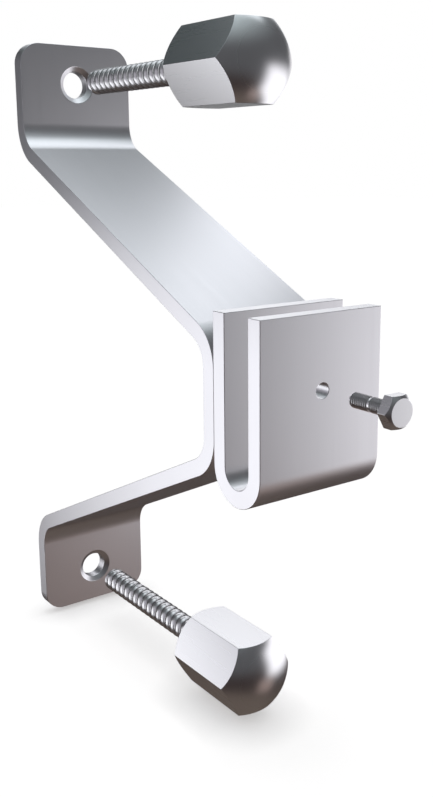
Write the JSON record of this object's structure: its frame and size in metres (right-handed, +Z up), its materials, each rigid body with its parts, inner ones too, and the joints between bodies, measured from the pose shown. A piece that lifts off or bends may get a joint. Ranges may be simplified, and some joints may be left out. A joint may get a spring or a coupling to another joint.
{
  "type": "flat bar bridge bracket",
  "caption": "Wall bracket bent from flat bar into a bridge, with a U-shaped saddle on its crown, domed hexagon wall bolts and a small lock bolt.",
  "frame": {"origin": "on the wall plane, midway between the two wall holes", "axes": "+Z up along the bracket, +Y into the wall, +X across the bar, to the right as seen by someone who faces the wall"},
  "size_m": [0.05, 0.2014, 0.25],
  "materials": {
    "bar": "satin stainless steel flat bar",
    "bolts": "turned and polished stainless steel"
  },
  "bodies": {
    "bracket": {"bridge_bar": "bar", "saddle": "bar"},
    "upper_bolt": {"upper_wall_bolt": "bolts"},
    "lower_bolt": {"lower_wall_bolt": "bolts"},
    "lock": {"lock_bolt": "bolts"}
  },
  "joints": [
    {"name": "upper_bolt_slide", "type": "slide", "parent": "bracket", "child": "upper_bolt", "axis": [0, 1, 0], "range_m": [0, 0.088]},
    {"name": "lower_bolt_slide", "type": "slide", "parent": "bracket", "child": "lower_bolt", "axis": [0, 1, 0], "range_m": [0, 0.088]},
    {"name": "lock_bolt_slide", "type": "slide", "parent": "bracket", "child": "lock", "axis": [0, 1, 0], "range_m": [0, 0.03]}
  ]
}
